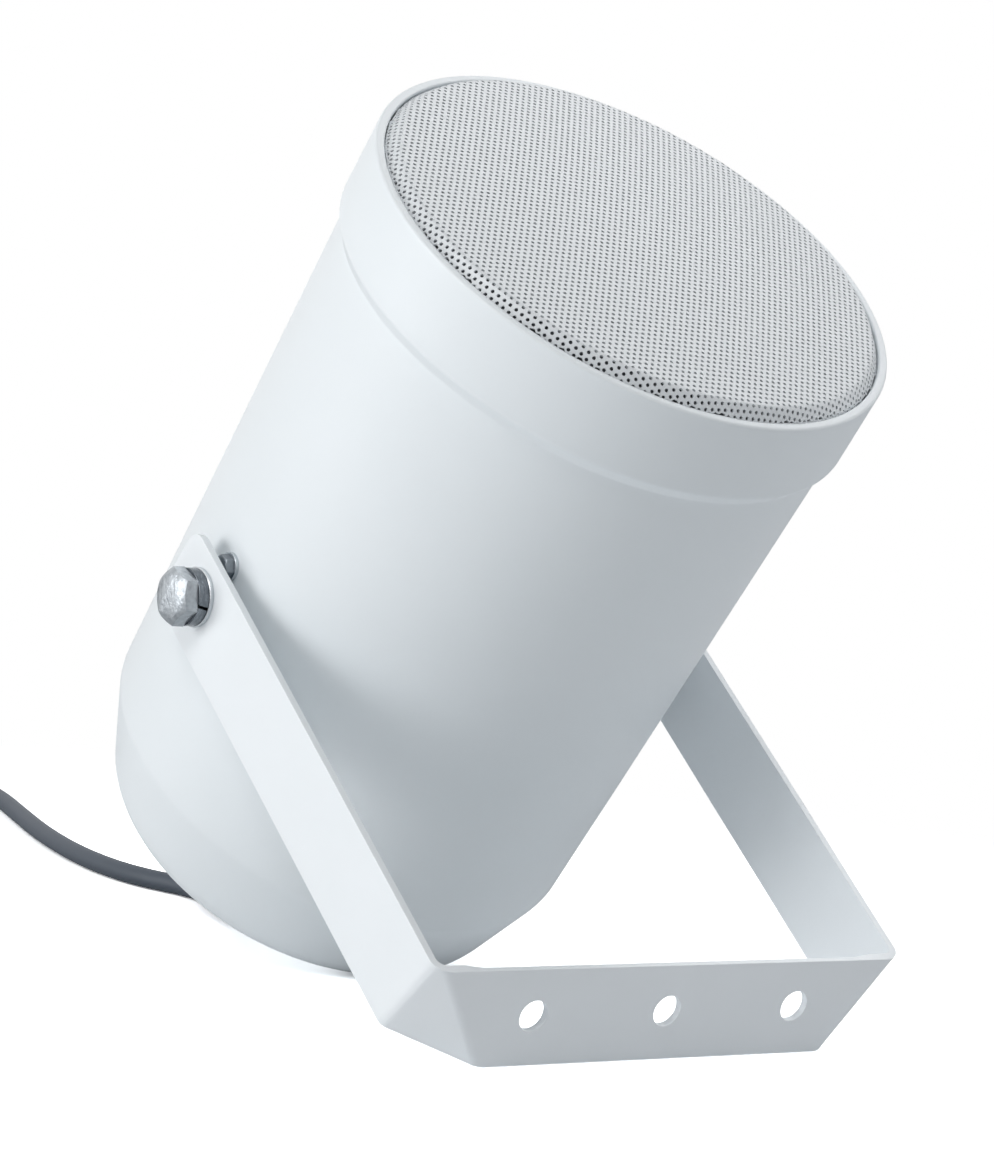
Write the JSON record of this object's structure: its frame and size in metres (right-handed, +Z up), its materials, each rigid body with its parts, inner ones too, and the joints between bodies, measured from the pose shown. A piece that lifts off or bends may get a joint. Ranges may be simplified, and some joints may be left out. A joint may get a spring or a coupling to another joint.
{
  "type": "sound projector speaker",
  "caption": "Round pot-shaped sound projector with a domed perforated grille, a tilting U bracket on side bolts and a cable tail, standing on its bracket.",
  "frame": {"origin": "on the surface it stands on, under the middle of its box without the cable", "axes": "+X along the pivot axis, +Z up, +Y away from the side that the grille leans towards"},
  "size_m": [0.1622, 0.5449, 0.2354],
  "materials": {
    "shell_plastic": "fine satin moulded white",
    "grille_metal": "white powder coat",
    "acoustic_cloth": "woven, acoustically open",
    "gasket_foam": "closed foam",
    "basket_steel": "black enamel",
    "zinc_steel": "zinc plated",
    "spring_steel": "oiled spring steel",
    "tag_board": "laminate",
    "plate_steel": "zinc plated plate",
    "ferrite": "sintered",
    "voice_coil_copper": "enamelled wire",
    "spider_cloth": "resin cloth",
    "surround_rubber": "soft rubber",
    "cone_paper": "pressed pulp",
    "core_steel": "laminated electrical steel",
    "bobbin_plastic": "taped winding",
    "terminal_plastic": "moulded",
    "terminal_brass": "turned",
    "core_insulation": "insulated wire",
    "gland_plastic": "moulded light grey",
    "seal_rubber": "soft rubber",
    "bracket_paint": "white powder coat",
    "cord_jacket": "matt dark grey jacket"
  },
  "bodies": {
    "housing": {"housing_shell": "shell_plastic", "grille": "grille_metal", "grille_cloth": "acoustic_cloth", "driver_gasket": "gasket_foam", "driver_basket": "basket_steel", "driver_screws": "zinc_steel", "driver_tags": "tag_board", "top_plate": "plate_steel", "magnet": "ferrite", "back_plate": "plate_steel", "spider": "spider_cloth", "surround": "surround_rubber", "transformer_core": "core_steel", "transformer_coil": "bobbin_plastic", "transformer_strap": "zinc_steel", "transformer_screws": "zinc_steel", "terminal_block": "terminal_plastic", "terminal_screws": "terminal_brass", "supply_cores": "core_insulation", "speaker_leads": "core_insulation", "gland_body": "gland_plastic", "gland_seal": "seal_rubber", "gland_nut": "gland_plastic", "gland_locknut": "gland_plastic", "pivot_bolt_left": "zinc_steel", "spring_washer_left": "spring_steel", "flat_washer_left": "zinc_steel", "pivot_bush_left": "zinc_steel", "pivot_plate_left": "plate_steel", "plate_screws_left": "zinc_steel", "plate_washers_left": "zinc_steel", "pivot_bolt_right": "zinc_steel", "spring_washer_right": "spring_steel", "flat_washer_right": "zinc_steel", "pivot_bush_right": "zinc_steel", "pivot_plate_right": "plate_steel", "plate_screws_right": "zinc_steel", "plate_washers_right": "zinc_steel", "cord": "cord_jacket", "cord_coil": "cord_jacket", "cord_tail": "cord_jacket", "cord_cores": "core_insulation"},
    "bracket": {"bracket": "bracket_paint"},
    "cone": {"cone": "cone_paper", "dust_cap": "cone_paper", "voice_coil": "voice_coil_copper"}
  },
  "joints": [
    {"name": "bracket_tilt", "type": "hinge", "parent": "housing", "child": "bracket", "pos_m": [0, 0.01725, 0.09788], "axis": [1, 0, 0], "range_deg": [-54, 84]},
    {"name": "cone_travel", "type": "slide", "parent": "housing", "child": "cone", "axis": [0, -0.5834, 0.8122], "range_m": [-0.002, 0.002], "stiffness_N_per_m": 2600, "deforming": ["surround", "spider"]}
  ]
}
